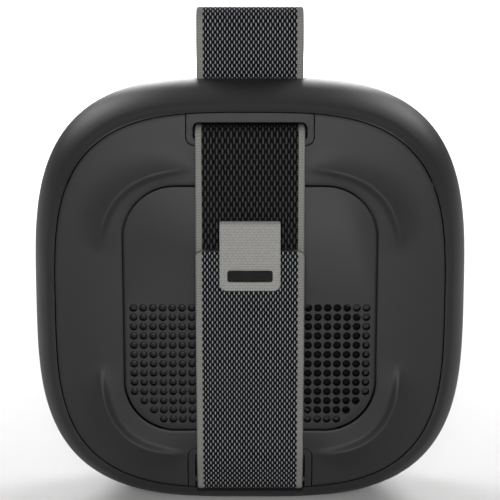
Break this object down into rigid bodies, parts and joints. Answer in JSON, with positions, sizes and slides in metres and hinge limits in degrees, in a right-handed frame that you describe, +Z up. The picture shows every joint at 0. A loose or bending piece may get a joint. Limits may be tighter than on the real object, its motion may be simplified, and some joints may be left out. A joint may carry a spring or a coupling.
{
  "type": "shower speaker",
  "caption": "Pocket waterproof speaker with a rounded-square body, perforated rear panel, webbing carry loop on top and a peel-open strap on the back.",
  "frame": {"origin": "centre of the bounding box at the base the speaker stands on", "axes": "+Z up, the strapped and perforated back faces +Y, the front grille faces -Y, +X to the right seen from the front"},
  "size_m": [0.098, 0.0362, 0.1124],
  "materials": {
    "shell": "soft-touch satin moulding",
    "inserts": "fine matte",
    "chassis": "moulded, plain",
    "grille": "powder coated, perforated",
    "cloth": "acoustic cloth",
    "strap_dark": "waffle woven loop face",
    "strap_pattern": "patterned webbing with light selvedges",
    "tab_fabric": "fine ribbed tape",
    "label": "plain matte",
    "buttons": "soft matte",
    "light": "frosted",
    "steel": "plated",
    "basket": "stamped and painted",
    "magnet": "sintered ferrite",
    "copper": "wound copper",
    "diaphragm": "pressed cone",
    "soft_rubber": "soft roll",
    "spider_cloth": "resin-dipped cloth",
    "foam": "foam",
    "cell_wrap": "shrink wrap",
    "circuit": "solder mask",
    "chip": "moulded package",
    "leads": "insulation"
  },
  "bodies": {
    "housing": {"amplifier_chip": "chip", "antenna_strip": "copper", "battery_cell": "cell_wrap", "battery_cradle": "chassis", "battery_leads": "leads", "battery_pad": "foam", "button_flex": "circuit", "charge_port": "steel", "charge_port_seal": "inserts", "cover_screw_1": "steel", "cover_screw_2": "steel", "cover_screw_3": "steel", "cover_screw_4": "steel", "driver_basket": "basket", "driver_gasket": "soft_rubber", "driver_leads": "leads", "driver_magnet": "magnet", "driver_spider": "spider_cloth", "driver_surround": "soft_rubber", "driver_top_plate": "steel", "driver_yoke": "steel", "front_baffle": "chassis", "front_grille": "grille", "front_grille_cloth": "cloth", "front_housing": "shell", "front_radiator_frame": "chassis", "front_radiator_surround": "soft_rubber", "main_board": "circuit", "microphone": "steel", "radio_module": "steel", "rear_acoustic_mesh": "cloth", "rear_cover": "shell", "rear_cover_gasket": "inserts", "rear_panel": "shell", "rear_radiator_frame": "chassis", "rear_radiator_surround": "soft_rubber", "status_light": "light", "strap_channel": "inserts", "strap_guide_bottom": "inserts", "strap_guide_top": "inserts", "strap_pin_bottom": "steel", "strap_pin_top": "steel", "upper_strap": "strap_dark"},
    "driver_motor": {"voice_coil": "copper", "driver_cone": "diaphragm", "driver_dust_cap": "diaphragm"},
    "front_radiator": {"front_radiator_plate": "diaphragm"},
    "rear_radiator": {"rear_radiator_plate": "diaphragm"},
    "closure": {"closure_strap": "strap_pattern", "hook_patch": "strap_dark", "pull_tab": "tab_fabric", "tab_label": "label"},
    "loop": {"carry_loop": "strap_pattern"},
    "button_power_key": {"button_power": "buttons"},
    "button_volume_down_key": {"button_volume_down": "buttons"},
    "button_play_key": {"button_play": "buttons"},
    "button_volume_up_key": {"button_volume_up": "buttons"},
    "button_pairing_key": {"button_pairing": "buttons"}
  },
  "joints": [
    {"name": "driver_travel", "type": "slide", "parent": "housing", "child": "driver_motor", "axis": [0, -1, 0], "range_m": [-0.001, 0.001], "stiffness_N_per_m": 1500},
    {"name": "front_radiator_travel", "type": "slide", "parent": "housing", "child": "front_radiator", "axis": [0, -1, 0], "range_m": [-0.0015, 0.0015], "stiffness_N_per_m": 800},
    {"name": "rear_radiator_travel", "type": "slide", "parent": "housing", "child": "rear_radiator", "axis": [0, 1, 0], "range_m": [-0.0015, 0.0015], "stiffness_N_per_m": 800},
    {"name": "closure_peel", "type": "hinge", "parent": "housing", "child": "closure", "pos_m": [0, 0.00925, 0.0063], "axis": [-1, 0, 0], "range_deg": [0, 80]},
    {"name": "loop_swing", "type": "hinge", "parent": "housing", "child": "loop", "pos_m": [0, -0.00615, 0.0952], "axis": [1, 0, 0], "range_deg": [-15, 20], "stiffness_Nm_per_rad": 0.005},
    {"name": "button_power_press", "type": "slide", "parent": "housing", "child": "button_power_key", "axis": [0.1992, 0.5252, -0.8273], "range_m": [0, 0.0005], "stiffness_N_per_m": 2000},
    {"name": "button_volume_down_press", "type": "slide", "parent": "housing", "child": "button_volume_down_key", "axis": [0.0382, 0.5356, -0.8436], "range_m": [0, 0.0005], "stiffness_N_per_m": 2000},
    {"name": "button_play_press", "type": "slide", "parent": "housing", "child": "button_play_key", "axis": [0, 0.536, -0.8442], "range_m": [0, 0.0005], "stiffness_N_per_m": 2000},
    {"name": "button_volume_up_press", "type": "slide", "parent": "housing", "child": "button_volume_up_key", "axis": [-0.0382, 0.5356, -0.8436], "range_m": [0, 0.0005], "stiffness_N_per_m": 2000},
    {"name": "button_pairing_press", "type": "slide", "parent": "housing", "child": "button_pairing_key", "axis": [-0.1992, 0.5252, -0.8273], "range_m": [0, 0.0005], "stiffness_N_per_m": 2000}
  ]
}
